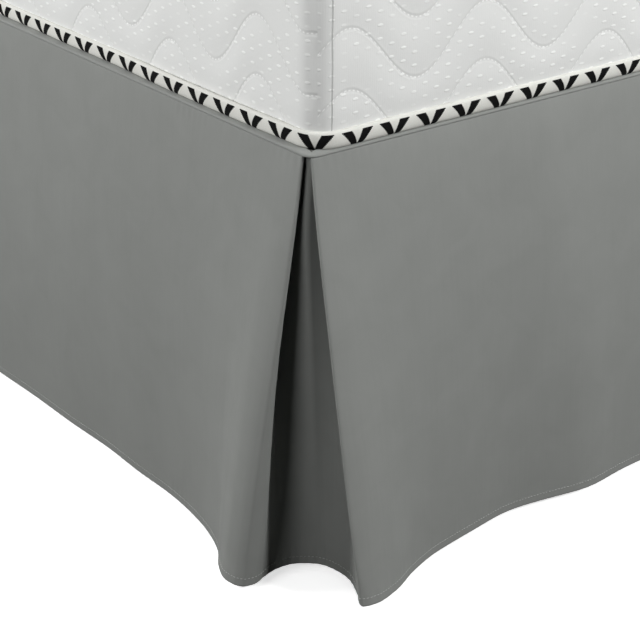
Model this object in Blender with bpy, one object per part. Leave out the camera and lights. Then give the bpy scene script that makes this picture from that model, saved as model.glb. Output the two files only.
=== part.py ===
"""Bed skirt hung over a bed base, with the mattress on top.

The skirt is a flat platform sheet and three hemmed drops: one at the foot and one on each side, with
an inverted pleat at each foot corner. The head end is open. Metres, +Z up, the foot end towards -Y.
"""

from math import cos, pi, radians, sin

import bmesh
import bpy
import numpy as np

# The bed: a queen size, 60 by 80 inches, with a 15 inch drop.
BED_WIDTH = 1.524
BED_LENGTH = 2.032
DROP = 0.381
HEM_LIFT = 0.008
SEAM_HEIGHT = HEM_LIFT + DROP
GAP = 0.0003

# The skirt's cloth and its corner pleat: a back fold one PLEAT_DEPTH from the centre, then a front
# fold beside the corner. DECK is the platform, whose rim turns down to the drops.
SHEET = 0.0016
PLEAT_DEPTH = 0.039
LAYER_PITCH = 0.0024
FOLD_RADIUS = LAYER_PITCH / 2
FOLD_STEPS = 3
FRONT_REACH = 0.0024
FRONT_FOLD = 2 * PLEAT_DEPTH + FRONT_REACH
FOOT_FOLD_BACK = 0.0060
DECK_RISE = 0.003
DECK_CORNER = 0.008
DECK_LIP = 0.0026

# Bed base and its legs.
BASE_INSET = 0.010
BASE_CORNER = 0.050
BASE_HEIGHT = 0.216
BASE_EDGE = 0.006
LEG_TOP_RADIUS = 0.032
LEG_FOOT_RADIUS = 0.024
LEG_ACROSS = 0.60
LEG_ALONG = 0.86

# Mattress, with a binding tape over each edge seam. The side insets are from the skirt's seams.
MATTRESS_SIDE_INSET = 0.0005
MATTRESS_END_INSET = 0.0065
MATTRESS_CORNER = 0.025
MATTRESS_HEIGHT = 0.250
TAPE_HEIGHT = 0.014
TAPE_DEPTH = 0.005
CORNER_STEPS = 6

# Where the hem runs at a foot corner. A row is a place on the cloth: its distance along the cloth
# from the pleat's centre, negative on the foot drop, and how far it hangs outside the side drop's
# seam and outside the foot drop's seam. Past STRAIGHT_FROM it hangs straight below the seam, moved
# out by HEM_OUT_FOOT or HEM_OUT_SIDE.
HEM_AT_CORNER = (
    # (along_cloth, past_side_seam, past_foot_seam)
    (-0.313, -0.237, 0.024),
    (-0.264, -0.188, 0.023),
    (-0.217, -0.141, 0.027),
    (-0.180, -0.105, 0.034),
    (-0.151, -0.077, 0.044),
    (-0.124, -0.055, 0.058),
    (-0.103, -0.035, 0.064),
    (-0.078, -0.016, 0.052),
    (-0.049, -0.022, 0.024),
    (-0.027, -0.018, 0.002),
    (-0.005, -0.003, -0.014),
    (0.012, 0.013, -0.020),
    (0.032, 0.032, -0.020),
    (0.054, 0.052, -0.012),
    (0.078, 0.070, -0.004),
    (0.090, 0.073, -0.018),
    (0.114, 0.068, -0.041),
    (0.147, 0.054, -0.072),
    (0.182, 0.043, -0.105),
    (0.210, 0.038, -0.133),
    (0.266, 0.033, -0.188),
    (0.372, 0.035, -0.295),
)
STRAIGHT_FROM = 0.600
HEM_OUT_FOOT = 0.024
HEM_OUT_SIDE = 0.034

# Soft folds down each face: where the fold starts on the seam and ends at the hem, measured along
# the bed, its half width, and how far it stands out (or in, where negative) at mid height and hem.
FOOT_FOLDS = (
    # (at_seam, at_hem, half_width, out_at_middle, out_at_hem)
    (-0.51, -0.47, 0.060, 0.0022, 0.0040),
    (-0.33, -0.36, 0.050, -0.0018, -0.0030),
    (-0.16, -0.10, 0.070, 0.0025, 0.0045),
    (0.06, 0.02, 0.050, -0.0020, -0.0035),
    (0.19, 0.24, 0.060, 0.0018, 0.0030),
    (0.42, 0.46, 0.045, 0.0012, -0.0025),
)
RIGHT_FOLDS = (
    # (from_foot_at_seam, from_foot_at_hem, half_width, out_at_middle, out_at_hem)
    (0.190, 0.225, 0.034, -0.0034, -0.0020),
    (0.262, 0.292, 0.026, 0.0030, 0.0024),
    (0.318, 0.326, 0.018, -0.0034, -0.0012),
    (0.354, 0.372, 0.026, 0.0030, 0.0020),
    (0.450, 0.440, 0.050, -0.0026, -0.0030),
    (0.620, 0.660, 0.060, -0.0030, -0.0050),
    (0.860, 0.820, 0.070, 0.0030, 0.0060),
    (1.090, 1.120, 0.060, -0.0025, -0.0045),
    (1.330, 1.290, 0.075, 0.0030, 0.0055),
    (1.560, 1.600, 0.060, -0.0022, -0.0040),
    (1.800, 1.770, 0.070, 0.0020, 0.0050),
)
LEFT_FOLDS = (
    # (from_foot_at_seam, from_foot_at_hem, half_width, out_at_middle, out_at_hem)
    (0.230, 0.200, 0.034, -0.0020, -0.0032),
    (0.310, 0.330, 0.036, 0.0024, 0.0030),
    (0.500, 0.470, 0.055, -0.0026, -0.0040),
    (0.740, 0.790, 0.070, 0.0030, 0.0055),
    (1.010, 0.980, 0.060, -0.0024, -0.0050),
    (1.240, 1.270, 0.070, 0.0026, 0.0045),
    (1.480, 1.450, 0.060, -0.0026, -0.0045),
    (1.720, 1.750, 0.075, 0.0026, 0.0050),
)

# The faces' folds start this far past the pleat's front fold, and each thread bows by BOW of its
# way out.
FOLDS_START = 0.060
FOLDS_BLEND = 0.012
BOW = 0.05

# How finely each sheet is divided: down the drop as shares of it, and along the cloth in metres.
DROP_ROWS = np.array([0.0, 0.04, 0.11, 0.20, 0.31, 0.43, 0.55, 0.67, 0.79, 0.90, 1.0])
PLEAT_COLUMNS = (0.009, 0.018, 0.027, 0.048, 0.058, 0.067)
LOBE_COLUMNS = (0.085, 0.091, 0.098, 0.107, 0.118, 0.132, 0.149, 0.168, 0.191, 0.219, 0.250)
NEAR_STEP = 0.026
NEAR_END = 0.484
FAR_STEP = 0.058

# Half the gap between two drops where they are sewn together inside the pleat.
SEAM_STEP = 0.0004
HEAD_INSET = 0.002

# The foot lobes reach past the foot end, so the bed stands back by half of that to centre its box.
FOOT_REACH = max(row[2] for row in HEM_AT_CORNER) + SHEET / 2
SEAM_X = BED_WIDTH / 2
FOOT_Y = (FOOT_REACH - BED_LENGTH) / 2
HEAD_Y = FOOT_Y + BED_LENGTH

CLOTH_GREY = (0.216, 0.223, 0.213, 1.0)
MATTRESS_WHITE = (0.74, 0.74, 0.72, 1.0)
TAPE_WHITE = (0.66, 0.66, 0.63, 1.0)
BASE_CREAM = (0.52, 0.50, 0.46, 1.0)
LEG_BLACK = (0.018, 0.018, 0.018, 1.0)


def clear_scene():
    for item in list(bpy.data.objects):
        bpy.data.objects.remove(item, do_unlink=True)


def material(name, colour, roughness, metallic=0.0):
    made = bpy.data.materials.new(name)
    made.use_nodes = True
    made.diffuse_color = colour
    shader = made.node_tree.nodes["Principled BSDF"]
    shader.inputs["Base Color"].default_value = colour
    shader.inputs["Roughness"].default_value = roughness
    shader.inputs["Metallic"].default_value = metallic
    return made


def add_object(name, mesh, finish, smooth_angle=40):
    mesh.materials.append(finish)
    mesh.shade_smooth()
    mesh.set_sharp_from_angle(angle=radians(smooth_angle))
    item = bpy.data.objects.new(name, mesh)
    bpy.context.scene.collection.objects.link(item)
    return item


def outward(mesh):
    """Turn every face of a closed mesh to point out."""
    shape = bmesh.new()
    shape.from_mesh(mesh)
    bmesh.ops.recalc_face_normals(shape, faces=shape.faces)
    shape.to_mesh(mesh)
    shape.free()


def folded_seam():
    """The drops' top edge at a corner, from the pleat's centre to past the side's front fold.

    The cloth runs along the side to the back fold, turns back to the front fold beside the corner,
    and turns again to run along the side as the face. Gives the distance along the cloth and the
    place past the side seam and past the foot seam, at the ends of each run and round each fold.
    """
    underlay = PLEAT_DEPTH - pi * FOLD_RADIUS / 2
    walk = [(underlay, 180), (PLEAT_DEPTH + FRONT_REACH - pi * FOLD_RADIUS, -180)]
    place = np.array([-2 * LAYER_PITCH, -2 * LAYER_PITCH])
    heading = -90.0
    along = 0.0
    rows = [(along, *place)]
    for length, turn in walk:
        place = place + length * np.array([cos(radians(heading)), sin(radians(heading))])
        along += length
        rows.append((along, *place))
        step = turn / FOLD_STEPS
        chord = 2 * FOLD_RADIUS * sin(radians(abs(step)) / 2)
        for _ in range(FOLD_STEPS):
            heading += step / 2
            place = place + chord * np.array([cos(radians(heading)), sin(radians(heading))])
            heading += step / 2
            along += FOLD_RADIUS * radians(abs(step))
            rows.append((along, *place))
    return np.array(rows)


def seam_at(along):
    """Where the folded seam lies at each distance along the cloth.

    The foot half is the side half mirrored in the corner's diagonal, with its fold further back from
    the corner. Past the front fold the cloth runs straight on in the seam.
    """
    rows = folded_seam()
    far = np.abs(along)
    beyond = np.maximum(far - rows[-1, 0], 0)
    across = np.interp(far, rows[:, 0], rows[:, 1])
    side_down = np.interp(far, rows[:, 0], rows[:, 2]) - beyond
    foot_down = side_down - FOOT_FOLD_BACK * np.minimum(far / PLEAT_DEPTH, 1)
    on_side = along >= 0
    return np.where(on_side, across, foot_down), np.where(on_side, side_down, across)


def hem_table():
    """The corner's hem table, with the place where the hem starts to hang straight at each end."""
    ends = np.array([-STRAIGHT_FROM, STRAIGHT_FROM])
    past_side, past_foot = seam_at(ends)
    foot_end = (ends[0], past_side[0], past_foot[0] + HEM_OUT_FOOT)
    side_end = (ends[1], past_side[1] + HEM_OUT_SIDE, past_foot[1])
    return np.array([foot_end, *HEM_AT_CORNER, side_end])


def smooth_through(knots, values, along):
    """A smooth curve through the knots: cubic, with each knot's slope taken from its neighbours."""
    slopes = np.gradient(values, knots)
    inside = np.clip(along, knots[0], knots[-1])
    left = np.clip(np.searchsorted(knots, inside, side="right") - 1, 0, len(knots) - 2)
    width = knots[left + 1] - knots[left]
    t = (inside - knots[left]) / width
    start = (1 + 2 * t) * (1 - t) ** 2 * values[left] + t * (1 - t) ** 2 * width * slopes[left]
    end = t**2 * (3 - 2 * t) * values[left + 1] - t**2 * (1 - t) * width * slopes[left + 1]
    return start + end


def hem_at(along):
    """Where the hem hangs at each distance along the cloth."""
    table = hem_table()
    past_side = smooth_through(table[:, 0], table[:, 1], along)
    past_foot = smooth_through(table[:, 0], table[:, 2], along)
    past_side = past_side + np.minimum(along + STRAIGHT_FROM, 0)
    past_foot = past_foot - np.maximum(along - STRAIGHT_FROM, 0)
    return past_side, past_foot


def hanging(along, fall):
    """The cloth at a corner, for arrays of the distance along it and the share of the drop fallen.

    Each thread hangs from its place on the folded seam to its place on the hem, bowed a little out.
    """
    top = seam_at(along)
    hem = hem_at(along)
    share = fall + BOW * np.sin(pi * fall)
    return [high + (low - high) * share for high, low in zip(top, hem)]


def soft_folds(table, place_on_face, fall):
    """How far the soft folds stand out: each is a smooth hump across, growing down the drop."""
    total = np.zeros_like(place_on_face)
    for at_seam, at_hem, half_width, out_at_middle, out_at_hem in table:
        centre = at_seam + (at_hem - at_seam) * fall
        hump = np.exp(-(((place_on_face - centre) / half_width) ** 2))
        rise = 4 * fall * (1 - fall) * out_at_middle + fall**2 * out_at_hem
        total += hump * rise
    return total


def face_share(along):
    """0 round the pleat, rising smoothly to 1 where the face's own soft folds start."""
    past_fold = np.abs(along) - FRONT_FOLD
    return 1 / (1 + np.exp(-(past_fold - FOLDS_START) / FOLDS_BLEND))


def corner_columns(first, last):
    """Distances along the cloth of a corner's columns: every fold corner, and between them."""
    half = np.concatenate([folded_seam()[:, 0], PLEAT_COLUMNS, LOBE_COLUMNS])
    every = np.unique(np.round(np.concatenate([-half, half]), 6))
    return every[(every >= first) & (every <= last)]


def even_columns(start, end, step):
    """Distances from the start, left out, to the end, in near-equal steps."""
    return np.linspace(start, end, round((end - start) / step) + 1)[1:]


def foot_columns():
    """Half the foot drop, from the middle of the bed to the seam in the pleat's back fold."""
    face_start = folded_seam()[-1]
    middle = SEAM_X + face_start[0] + face_start[2] - FOOT_FOLD_BACK
    seam = -PLEAT_DEPTH - SEAM_STEP
    plain = even_columns(LOBE_COLUMNS[-1], middle, FAR_STEP)
    return np.concatenate([-plain[::-1], corner_columns(-LOBE_COLUMNS[-1], seam), [seam]])


def side_columns():
    """A side drop, from the seam in the pleat's back fold to the head end."""
    face_start = folded_seam()[-1]
    end = BED_LENGTH - HEAD_INSET + face_start[0] + face_start[2]
    seam = -PLEAT_DEPTH + SEAM_STEP
    near = even_columns(LOBE_COLUMNS[-1], NEAR_END, NEAR_STEP)
    far = even_columns(NEAR_END, end, FAR_STEP)
    return np.concatenate([[seam], corner_columns(seam, LOBE_COLUMNS[-1]), near, far])


def sheet(name, x, y, z, finish):
    """A grid of points made a cloth panel of even thickness."""
    rows, columns = x.shape
    points = np.stack([x, y, z], axis=-1).reshape(-1, 3)
    index = np.arange(rows * columns).reshape(rows, columns)
    corners = [index[:-1, :-1], index[:-1, 1:], index[1:, 1:], index[1:, :-1]]
    faces = np.stack([corner.ravel() for corner in corners], axis=-1)
    mesh = bpy.data.meshes.new(name)
    mesh.from_pydata(points.tolist(), [], faces.tolist())
    panel = add_object(name, mesh, finish)
    thick = panel.modifiers.new("cloth_thickness", "SOLIDIFY")
    thick.thickness = SHEET
    thick.offset = 0
    thick.use_even_offset = True


def both_halves(half, sign):
    """A panel that is alike on both sides of the bed's middle, from its right half."""
    return np.concatenate([sign * half[:, :0:-1], half], axis=1)


def foot_drop(finish):
    along, fall = np.meshgrid(foot_columns(), DROP_ROWS)
    past_side, past_foot = hanging(along, fall)
    x = both_halves(SEAM_X + past_side, -1)
    fallen = both_halves(fall, 1)
    folds = both_halves(face_share(along), 1) * soft_folds(FOOT_FOLDS, x, fallen)
    y = FOOT_Y - both_halves(past_foot, 1) - folds
    z = SEAM_HEIGHT - DROP * fallen
    sheet("foot_drop", x, y, z, finish)


def side_drop(name, side, folds, finish):
    along, fall = np.meshgrid(side_columns(), DROP_ROWS)
    past_side, past_foot = hanging(along, fall)
    past_side = past_side + face_share(along) * soft_folds(folds, -past_foot, fall)
    x = side * (SEAM_X + past_side)
    y = FOOT_Y - past_foot
    z = SEAM_HEIGHT - DROP * fall
    sheet(name, x, y, z, finish)


def rounded_outline(inset, corner, end_inset=None):
    """The bed's outline drawn in by the inset, as a closed ring of points with round corners."""
    end_inset = inset if end_inset is None else end_inset
    corner = max(corner, GAP)
    half = SEAM_X - inset - corner
    low = FOOT_Y + end_inset + corner
    high = HEAD_Y - end_inset - corner
    ring = []
    for x, y, start in ((half, low, -90), (half, high, 0), (-half, high, 90), (-half, low, 180)):
        for step in range(CORNER_STEPS + 1):
            angle = radians(start + 90 * step / CORNER_STEPS)
            ring.append((x + corner * cos(angle), y + corner * sin(angle)))
    return np.array(ring)


def loft(name, rings, finish, closed_loop=False):
    """A solid through rings of points, capped at both ends or, for a closed loop, run round."""
    count = len(rings[0])
    points = np.concatenate(rings)
    faces = []
    spans = len(rings) if closed_loop else len(rings) - 1
    for span in range(spans):
        low, high = span * count, (span + 1) % len(rings) * count
        for i in range(count):
            j = (i + 1) % count
            faces.append((low + i, low + j, high + j, high + i))
    if not closed_loop:
        faces.append(tuple(range(count - 1, -1, -1)))
        faces.append(tuple(range(points.shape[0] - count, points.shape[0])))
    mesh = bpy.data.meshes.new(name)
    mesh.from_pydata(points.tolist(), [], faces)
    outward(mesh)
    add_object(name, mesh, finish)


def at_height(ring, height):
    return np.column_stack([ring, np.full(len(ring), height)])


def platform(finish):
    """The sheet under the mattress. Its rim turns down to the drops, but not at the head."""
    top = SEAM_HEIGHT + DECK_RISE
    under = top - SHEET
    lip_end = SEAM_HEIGHT + GAP + SHEET / 8
    profile = (
        # (inset, height)
        (SHEET / 2 + DECK_LIP, under),
        (SHEET / 2 + 0.0002, under - 0.0006),
        (SHEET / 2, lip_end),
        (-SHEET / 2, lip_end),
        (-SHEET / 2, top - 0.0014),
        (-SHEET / 2 + 0.0005, top - 0.0004),
        (-SHEET / 2 + 0.0016, top),
    )
    rings = []
    for inset, height in profile:
        ring = at_height(rounded_outline(inset, DECK_CORNER - inset), height)
        at_head = ring[:, 1] > HEAD_Y - DECK_CORNER - GAP
        ring[at_head, 2] = np.maximum(ring[at_head, 2], under)
        ring[:, 1] = np.minimum(ring[:, 1], HEAD_Y)
        rings.append(ring)
    loft("platform", rings, finish)


def bed_base(finish):
    top = SEAM_HEIGHT + DECK_RISE - SHEET - GAP
    bottom = top - BASE_HEIGHT
    profile = (
        # (inset, height)
        (BASE_INSET + BASE_EDGE, bottom),
        (BASE_INSET + 0.3 * BASE_EDGE, bottom + 0.3 * BASE_EDGE),
        (BASE_INSET, bottom + BASE_EDGE),
        (BASE_INSET, top - BASE_EDGE),
        (BASE_INSET + 0.3 * BASE_EDGE, top - 0.3 * BASE_EDGE),
        (BASE_INSET + BASE_EDGE, top),
    )
    rings = [
        at_height(rounded_outline(inset, BASE_CORNER - (inset - BASE_INSET)), height)
        for inset, height in profile
    ]
    loft("bed_base", rings, finish)
    return bottom


def legs(base_bottom, finish):
    """Six round legs that taper to flat feet."""
    height = base_bottom - GAP
    middle = (FOOT_Y + HEAD_Y) / 2
    for across, side in ((-LEG_ACROSS, "left"), (LEG_ACROSS, "right")):
        for along, end in ((-LEG_ALONG, "foot"), (0, "middle"), (LEG_ALONG, "head")):
            shape = bmesh.new()
            bmesh.ops.create_cone(
                shape,
                cap_ends=True,
                segments=24,
                radius1=LEG_FOOT_RADIUS,
                radius2=LEG_TOP_RADIUS,
                depth=height,
            )
            bmesh.ops.translate(shape, verts=shape.verts, vec=(0, 0, height / 2))
            mesh = bpy.data.meshes.new(f"leg_{side}_{end}")
            shape.to_mesh(mesh)
            shape.free()
            leg = add_object(f"leg_{side}_{end}", mesh, finish)
            leg.location = (across, middle + along, 0)


def mattress_ring(inset, height):
    ring = rounded_outline(
        MATTRESS_SIDE_INSET + inset, MATTRESS_CORNER - inset, MATTRESS_END_INSET + inset
    )
    return at_height(ring, height)


def mattress(finish):
    """One filled solid: flat below, a crowned top, and sides drawn in at the two tapes."""
    low = SEAM_HEIGHT + DECK_RISE + GAP
    high = low + MATTRESS_HEIGHT
    behind_tape = TAPE_DEPTH + GAP
    profile = (
        # (inset, height)
        (0.030, low),
        (behind_tape + 0.003, low + 0.001),
        (behind_tape, low + 0.004),
        (behind_tape, low + TAPE_HEIGHT),
        (0.003, low + 0.040),
        (0.001, (low + high) / 2),
        (0.003, high - 0.040),
        (behind_tape, high - TAPE_HEIGHT),
        (behind_tape, high - 0.004),
        (behind_tape + 0.003, high - 0.001),
        (0.040, high + 0.006),
        (0.110, high + 0.014),
        (0.230, high + 0.019),
        (0.420, high + 0.021),
    )
    loft("mattress", [mattress_ring(*row) for row in profile], finish)


def binding_tape(name, height, finish):
    """A round-backed tape over an edge seam, from this height up."""
    profile = (
        # (inset, share_of_height)
        (TAPE_DEPTH, 0.02),
        (0.35 * TAPE_DEPTH, 0.04),
        (0.06 * TAPE_DEPTH, 0.25),
        (0.0, 0.50),
        (0.06 * TAPE_DEPTH, 0.75),
        (0.35 * TAPE_DEPTH, 0.96),
        (TAPE_DEPTH, 0.98),
    )
    rings = [mattress_ring(inset, height + share * TAPE_HEIGHT) for inset, share in profile]
    loft(name, rings, finish, closed_loop=True)


def build():
    clear_scene()
    cloth = material("skirt_microfibre", CLOTH_GREY, 0.9)
    ticking = material("mattress_knit", MATTRESS_WHITE, 0.85)
    tape = material("mattress_tape", TAPE_WHITE, 0.8)
    base_cloth = material("base_cloth", BASE_CREAM, 0.9)
    leg_plastic = material("leg_plastic", LEG_BLACK, 0.45)

    platform(cloth)
    foot_drop(cloth)
    side_drop("side_drop_right", 1, RIGHT_FOLDS, cloth)
    side_drop("side_drop_left", -1, LEFT_FOLDS, cloth)
    base_bottom = bed_base(base_cloth)
    legs(base_bottom, leg_plastic)
    mattress(ticking)
    low = SEAM_HEIGHT + DECK_RISE + GAP
    binding_tape("tape_bottom", low, tape)
    binding_tape("tape_top", low + MATTRESS_HEIGHT - TAPE_HEIGHT, tape)


build()
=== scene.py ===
"""A bed skirt on its bed, dressed for the studio.

The parts come in the order in which the bed is put together: legs, base, platform cloth, the three
hung drops with their hem stitches, mattress, binding tapes, and last the studio. Metres, +Z up, the
foot of the bed towards -Y.
"""

from math import pi, radians

import bpy
import numpy as np
from mathutils import Matrix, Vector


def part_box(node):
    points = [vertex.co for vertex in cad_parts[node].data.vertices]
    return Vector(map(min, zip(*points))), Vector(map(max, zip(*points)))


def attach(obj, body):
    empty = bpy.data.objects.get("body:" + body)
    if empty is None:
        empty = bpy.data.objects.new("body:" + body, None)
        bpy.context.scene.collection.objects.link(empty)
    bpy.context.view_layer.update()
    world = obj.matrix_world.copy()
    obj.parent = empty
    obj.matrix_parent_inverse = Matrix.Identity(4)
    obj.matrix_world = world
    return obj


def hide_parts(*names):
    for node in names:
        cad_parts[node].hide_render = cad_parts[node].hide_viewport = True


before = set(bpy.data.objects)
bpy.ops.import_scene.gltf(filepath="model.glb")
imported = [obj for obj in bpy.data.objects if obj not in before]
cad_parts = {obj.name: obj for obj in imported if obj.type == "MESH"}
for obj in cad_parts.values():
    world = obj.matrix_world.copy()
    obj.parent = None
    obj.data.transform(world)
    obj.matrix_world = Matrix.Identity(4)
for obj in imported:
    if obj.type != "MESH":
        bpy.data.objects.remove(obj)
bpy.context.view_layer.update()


# Legs. Each is one black ABS moulding, turned on its outside, that screws up into the base. A felt
# glide is pressed into its foot, and the moulding's outer skin is lightly sparked, so it is satin.

LEG_SIDES = 48
GLIDE_HEIGHT = 0.004
GLIDE_INSET = 0.0025
LEG_RIM = 0.0016


def surface(name, points, maps=None, closed_rows=False, closed_columns=False, extra_faces=()):
    """A mesh on a grid of points, rows by columns by xyz: each cell of the grid is one face.

    A closed direction also joins its last line of points to its first, and each named UV map then has
    one line more than the points, so that a pattern runs on across the join.
    """
    rows, columns = points.shape[:2]
    row, column = np.meshgrid(
        np.arange(rows - 1 + closed_rows), np.arange(columns - 1 + closed_columns), indexing="ij"
    )
    corners = [(row, column), (row, column + 1), (row + 1, column + 1), (row + 1, column)]
    cells = np.stack([(r % rows) * columns + c % columns for r, c in corners], axis=-1)
    faces = cells.reshape(-1, 4).tolist() + [tuple(face) for face in extra_faces]
    mesh = bpy.data.meshes.new(name)
    mesh.from_pydata(points.reshape(-1, 3).tolist(), [], faces)
    for map_name, uv in (maps or {}).items():
        on_cells = np.stack([uv[r, c] for r, c in corners], axis=-2).ravel()
        layer = mesh.uv_layers.new(name=map_name)
        filled = np.zeros(2 * len(mesh.loops))
        filled[: on_cells.size] = on_cells
        layer.data.foreach_set("uv", filled)
    return placed(name, mesh)


def placed(name, mesh):
    """The mesh as a smooth-shaded object in the scene."""
    mesh.shade_smooth()
    piece = bpy.data.objects.new(name, mesh)
    bpy.context.scene.collection.objects.link(piece)
    return piece


def linear(hex_colour):
    """An sRGB colour such as "8a8c89" as linear red, green and blue, and full opacity."""
    srgb = np.array([int(hex_colour[i : i + 2], 16) for i in (0, 2, 4)]) / 255
    light = np.where(srgb <= 0.04045, srgb / 12.92, ((srgb + 0.055) / 1.055) ** 2.4)
    return (*light.tolist(), 1.0)


def add_node(tree, kind, inputs, **settings):
    """Adds a node with its settings. An input takes a value, or another node's output as a link."""
    node = tree.nodes.new(kind)
    for setting, value in settings.items():
        setattr(node, setting, value)
    for name, value in inputs.items():
        if isinstance(value, bpy.types.NodeSocket):
            tree.links.new(value, node.inputs[name])
        else:
            node.inputs[name].default_value = value
    return node


def new_material(name, roughness, **shader_values):
    """A Principled material with these constants, as (material, its tree, its shader node)."""
    made = bpy.data.materials.new(name)
    made.use_nodes = True
    shader = made.node_tree.nodes["Principled BSDF"]
    shader.inputs["Roughness"].default_value = roughness
    for socket, value in shader_values.items():
        shader.inputs[socket.replace("_", " ")].default_value = value
    return made, made.node_tree, shader


def two_tone(tree, factor, start, end):
    """A colour that goes from start to end as the factor goes from 0 to 1. The end is an sRGB colour,
    and the start is one too, or a node's output."""
    start = linear(start) if isinstance(start, str) else start
    ends = {"Factor": factor, "A": start, "B": linear(end)}
    return add_node(tree, "ShaderNodeMix", ends, data_type="RGBA").outputs["Result"]


def finish(tree, shader, colour, height, strength, distance):
    """Gives the shader this colour, and this height as bump."""
    bump = add_node(
        tree, "ShaderNodeBump", {"Strength": strength, "Distance": distance, "Height": height}
    )
    tree.links.new(colour, shader.inputs["Base Color"])
    tree.links.new(bump.outputs["Normal"], shader.inputs["Normal"])


def moulded_abs():
    """ABS from a spark-finished mould: satin black with a fine even grain."""
    made, tree, shader = new_material("black_moulded_abs", 0.42, IOR=1.53)
    place = add_node(tree, "ShaderNodeTexCoord", {}).outputs["Object"]
    spark = add_node(tree, "ShaderNodeTexNoise", {"Vector": place, "Scale": 1400.0, "Detail": 2.0})
    wear = add_node(tree, "ShaderNodeTexNoise", {"Vector": place, "Scale": 60.0, "Detail": 3.0})
    colour = two_tone(tree, wear.outputs["Fac"], "1c1c1d", "262627")
    finish(tree, shader, colour, spark.outputs["Fac"], 0.25, 0.0002)
    return made


def turned(name, centre, profile):
    """A turned piece: the profile's (radius, height) points carried round the upright through centre."""
    angle = np.linspace(0, 2 * pi, LEG_SIDES, endpoint=False)
    radius, height = np.array(profile).T[:, :, None]
    ring = [centre[0] + radius * np.cos(angle), centre[1] + radius * np.sin(angle)]
    points = np.stack([*ring, height + 0 * angle], axis=-1)
    first, last = np.arange(LEG_SIDES)[::-1], np.arange(LEG_SIDES) + (len(profile) - 1) * LEG_SIDES
    return surface(name, points, closed_columns=True, extra_faces=[first, last])


abs_finish = moulded_abs()
for leg in [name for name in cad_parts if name.startswith("leg_")]:
    low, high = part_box(leg)
    middle = (low + high) / 2
    top_radius = (high[0] - low[0]) / 2
    foot_radius = top_radius - 0.008
    top = high[2]
    moulding = [
        (foot_radius - GLIDE_INSET, low[2]),
        (foot_radius - GLIDE_INSET, low[2] + GLIDE_HEIGHT),
        (foot_radius - 0.5 * LEG_RIM, low[2] + GLIDE_HEIGHT),
        (foot_radius, low[2] + GLIDE_HEIGHT + 0.5 * LEG_RIM),
        (foot_radius + 0.35 * (top_radius - foot_radius), low[2] + 0.35 * top),
        (foot_radius + 0.70 * (top_radius - foot_radius), low[2] + 0.70 * top),
        (top_radius - LEG_RIM, top - 0.014),
        (top_radius, top - 0.012),
        (top_radius, top - 0.5 * LEG_RIM),
        (top_radius - 0.5 * LEG_RIM, top),
    ]
    piece = turned(f"turned_{leg}", middle, moulding)
    piece.data.set_sharp_from_angle(angle=radians(35))
    piece.data.materials.append(abs_finish)
    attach(piece, "root")
    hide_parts(leg)


# Base. A timber box with springs, wrapped in a cream polyester woven cover. The cover is pulled
# tight, stapled below, and has a corded welt sewn along its upper and lower edges.

base_low, base_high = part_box("bed_base")
BED_MIDDLE_Y = (base_low[1] + base_high[1]) / 2
BASE_CORNER = 0.050
BASE_COLUMNS = 960
WELT_RADIUS = 0.0035
WELT_STEPS = 9
COVER_BOW = 0.0015


def bed_edge(half_width, half_length, corner, count):
    """Evenly spaced points on the bed's round-cornered outline, from the middle of its right foot
    corner along the right side first: place, way out, and distance from the start.

    Each corner is a quarter circle about its own centre, with straight sides between them.
    """
    arcs = [(-45, 0, 1, -1), (0, 90, 1, 1), (90, 180, -1, 1), (180, 270, -1, -1), (270, 315, 1, -1)]
    angle = np.concatenate([np.linspace(start, end, 31) for start, end, _, _ in arcs])
    centre_x = np.repeat([side * (half_width - corner) for _, _, side, _ in arcs], 31)
    centre_y = np.repeat([end * (half_length - corner) for _, _, _, end in arcs], 31)
    x = centre_x + corner * np.cos(np.radians(angle))
    y = BED_MIDDLE_Y + centre_y + corner * np.sin(np.radians(angle))
    walked = np.concatenate([[0], np.cumsum(np.hypot(np.diff(x), np.diff(y)))])
    at = np.linspace(0, walked[-1], count + 1)
    facing = np.radians(np.interp(at, walked, angle))
    place = np.stack([np.interp(at, walked, x), np.interp(at, walked, y)], axis=-1)
    return place, np.stack([np.cos(facing), np.sin(facing)], axis=-1), at


def ring_walls(edge, inset, height):
    """The outline carried through a profile: moved in by each inset, at each height. Insets and
    heights are rows by columns, or rows by one."""
    place, out, _ = edge
    flat = place[None, :-1] - np.asarray(inset)[..., None] * out[None, :-1]
    height = np.broadcast_to(height, flat.shape[:2])
    return np.concatenate([flat, height[..., None]], axis=-1)


def capped_ring(name, edge, profile, points):
    """A skin from ring_walls, with its first and last rings each closed by one face. The cloth map
    holds the distance round the outline and the distance along the profile."""
    walked = np.concatenate([[0], np.cumsum(np.hypot(*np.diff(profile, axis=0).T))])
    uv = np.stack(np.meshgrid(edge[2], walked), axis=-1)
    first = np.arange(points.shape[1])
    ends = [first[::-1], first + (len(profile) - 1) * len(first)]
    return surface(name, points, {"cloth": uv}, closed_columns=True, extra_faces=ends)


def plain_weave(tree, uv, yarn_apart):
    """The height of a plain weave: a sine across the warp times a sine across the weft."""
    turns = 2 * pi / yarn_apart
    turned_uv = add_node(
        tree, "ShaderNodeVectorMath", {0: uv, 1: (turns, turns, 1.0)}, operation="MULTIPLY"
    )
    split = add_node(tree, "ShaderNodeSeparateXYZ", {"Vector": turned_uv.outputs[0]})
    warp, weft = [
        add_node(tree, "ShaderNodeMath", {0: split.outputs[axis]}, operation="SINE").outputs[0]
        for axis in ("X", "Y")
    ]
    return add_node(tree, "ShaderNodeMath", {0: warp, 1: weft}, operation="MULTIPLY").outputs[0]


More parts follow.
